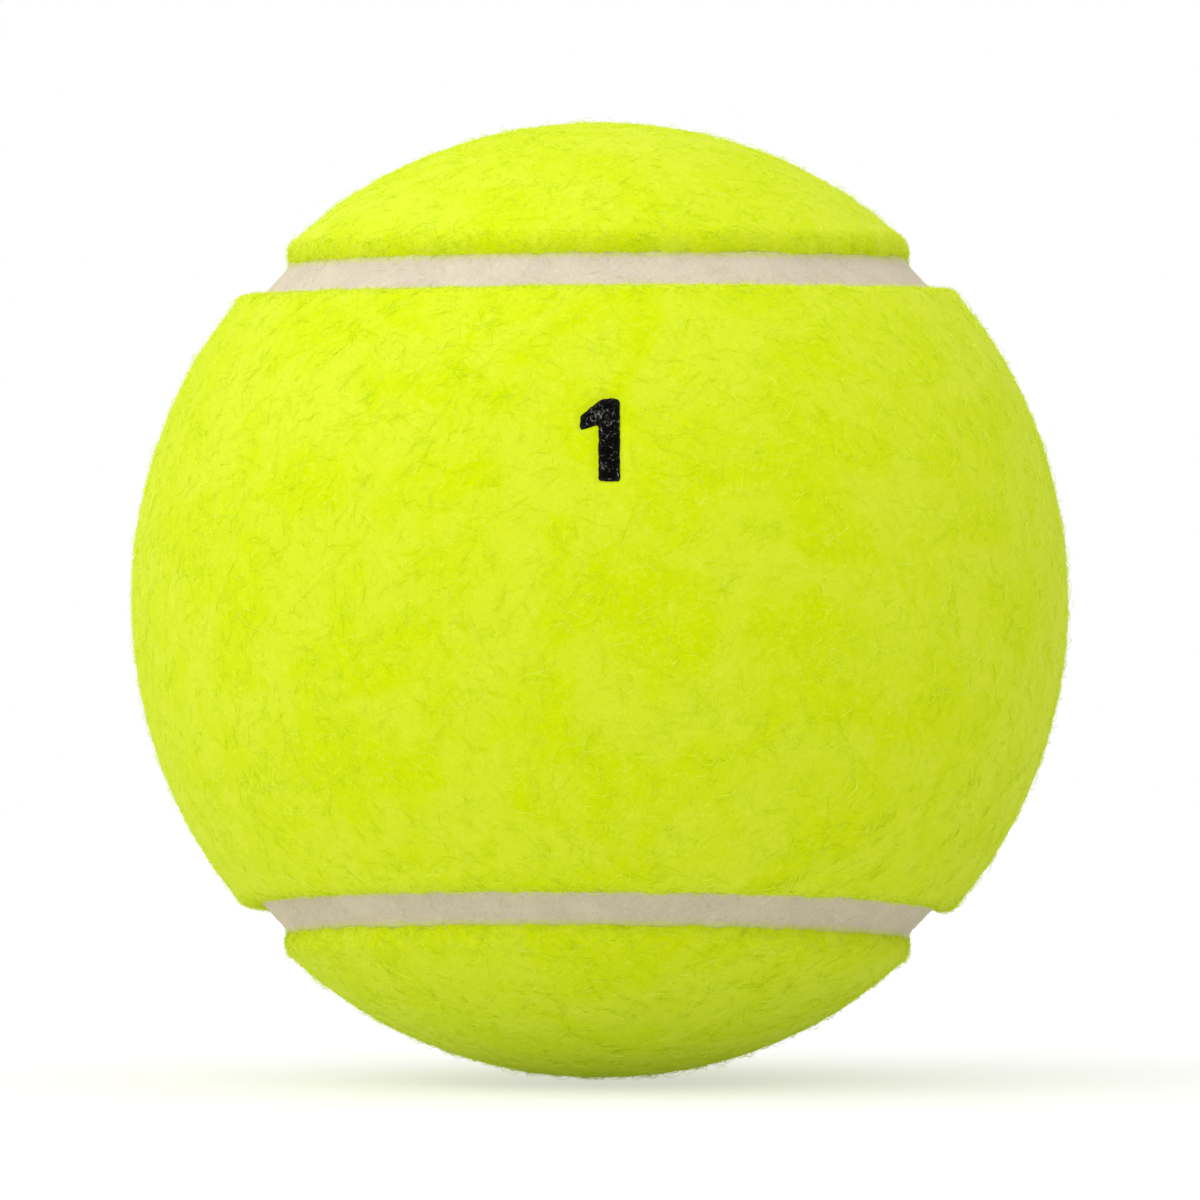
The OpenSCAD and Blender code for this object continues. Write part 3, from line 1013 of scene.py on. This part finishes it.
# %% The film's outline and grid
INK_STEP = 0.1 * MM
INK_ROW_SHARE = 0.87  # of the step, which makes the grid's triangles even
NOTCH, NOTCH_SIZE = 0.045 * MM, 0.35 * MM  # the edge of the ink is notched by the nap
INK_MARGIN = 0.06 * MM  # between the edge and the grid inside it
edge = []
for start, end in zip(outline, np.roll(outline, -1, axis=0)):
    count = max(1, round(float(np.linalg.norm(end - start)) / INK_STEP))
    edge += [start + (end - start) * k / count for k in range(count)]
edge = np.array(edge)
ahead = unit(np.roll(edge, -1, axis=0) - np.roll(edge, 1, axis=0))
notch = np.array([noise.fractal(Vector((x, y, 0)) / NOTCH_SIZE, 1.0, 2.0, 2) for x, y in edge])
edge = edge + np.stack([ahead[:, 1], -ahead[:, 0]], axis=-1) * (NOTCH * notch)[:, None]
grid = np.array([
    (x + (j % 2) * INK_STEP / 2, y)
    for j, y in enumerate(np.arange(-FIGURE_H / 2, FIGURE_H / 2, INK_STEP * INK_ROW_SHARE))
    for x in np.arange(-FIGURE_W / 2, FIGURE_W / 2, INK_STEP)
])
grid = grid[inside(grid, edge) > INK_MARGIN]
print("the ink has", len(edge), "places on its edge and", len(grid), "inside")

# %% The film
INK_OVER, INK_UNDER = 0.06 * MM, 0.15 * MM  # over and under the felt's surface
MATTED, MATTED_SIZE = 0.03 * MM, 0.3 * MM
flat = np.concatenate([edge, grid])
top = joined(edge, grid)
deep = np.sqrt(ball_r**2 - (flat**2).sum(axis=1))
ways = unit(flat[:, :1] * figure_right + flat[:, 1:] * figure_up + deep[:, None] * figure_out)
felt_top = ball_r + felt_height(ways, PANEL_SEEDS["front"])
matted = MATTED * rough(ways, MATTED_SIZE, 2, 91)
over = stretched(ways * (felt_top + INK_OVER + matted)[:, None])
under = stretched(ways * (felt_top - INK_UNDER)[:, None])
count, rim = len(flat), np.arange(len(edge))
after = (rim + 1) % len(edge)
wall = np.stack([rim, after, count + after, count + rim], -1)
first = over[top[0]]
if np.cross(first[1] - first[0], first[2] - first[0]) @ figure_out < 0:  # it faces inwards
    top = top[:, ::-1]
number = new_piece("number", np.concatenate([over, under]),
                   [top, top[:, ::-1] + count, wall], ink)
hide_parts("printed_number")
mark_faces(number, "nap", np.arange(2 * len(top) + len(wall)) < len(top))
print("the film has", len(number.data.polygons), "faces")

# %% Fibres on the ink
INSET = 0.02 * MM  # the fibres stay this far inside the ink's edge
GLINT_PATCH = 1.2 * MM
GLINT_SHARES = 0.36, 0.1  # of the fibres, in the patches of painted glint and outside them
corners = grown(number, ink, per_mm2=150, length=0.6, thickness=0.04, curl=0.3, curl_size=0.4,
                combed=0.3, lift=0.02, loop=0.05, flatness=0.8, rings=5, seed=3)
places = on_figure_plane(corners.mean(axis=2).reshape(-1, 3))
corners = corners[inside(places, edge).reshape(len(corners), -1).min(axis=1) > INSET]
# Painted glint: in patches more fibres get the pale ink that stands for light glinting off them
patchy = rough(unit(corners.mean(axis=(1, 2))), GLINT_PATCH, 1, 31)
glinting = rng.random(len(corners)) < np.where(patchy > 0.05, *GLINT_SHARES)
fibre_piece("number_fibres", corners[~glinting], ink)
fibre_piece("number_glint_fibres", corners[glinting], glint_ink)

# %% [markdown]
# ## The pieces inside
# The core and its cement films don't show, but the ball may be opened in a cut view. They
# keep their CAD shapes. The core is compounded rubber, buffed outside so that cement grips
# it. The cement is a cured rubber solution, clear amber and a little glossy.

# %% Rubber and cement
def core_look(tree, place):
    """Compounded rubber: grey-brown with chalky specks, dull and scratched by the buffing."""
    clouds, chalk, scratches = (
        add(tree, NOISE, {"Vector": place, "Scale": 1 / size, "Detail": detail})
        for size, detail in ((2, 4), (0.3, 2), (0.35, 4)))
    shade = shaded(tree, clouds, 0.3, 0.7, "5F5850", "716A60")
    shade = shaded(tree, chalk, 0.62, 0.72, shade, "9A9488", 0.6)
    normal = add(tree, "ShaderNodeBump", {"Height": scratches, "Distance": 0.05 * MM})
    return {"Base Color": shade, "Normal": normal, "Roughness": 0.8}


def cement_look(tree, place, deep, pale):
    """Cured rubber cement, brushed on: amber, streaky and satin."""
    brushed = add(tree, "ShaderNodeMapping", {"Vector": place, "Scale": (1, 1, 0.25)})
    streaks = add(tree, NOISE, {"Vector": brushed, "Scale": 1 / 1.2, "Detail": 3,
                                "Distortion": 0.4})
    normal = add(tree, "ShaderNodeBump", {"Height": streaks, "Distance": 0.03 * MM})
    return {"Base Color": shaded(tree, streaks, 0.3, 0.7, deep, pale), "Normal": normal,
            "Roughness": 0.45}


core_rubber = new_material("Core rubber, moulded and buffed", core_look)
joint_cement = new_material("Rubber cement, joint", cement_look, "BFA972", "D0BD8E")
core_cement = new_material("Rubber cement, core coat", cement_look, "CDB987", "DECDA4")
panel_cement = new_material("Rubber cement, panel back", cement_look, "D8C99E", "E6DAB6")
for finish, names in (
    (core_rubber, ("core_shell_upper", "core_shell_lower")),
    (joint_cement, ("core_joint_cement",)),
    (core_cement, ("core_cement_coat",)),
    (panel_cement, ("panel_cement_front", "panel_cement_back")),
):
    for name in names:
        nodes[name].data.materials.clear()
        nodes[name].data.materials.append(finish)
    print(finish.name, "on", ", ".join(names))
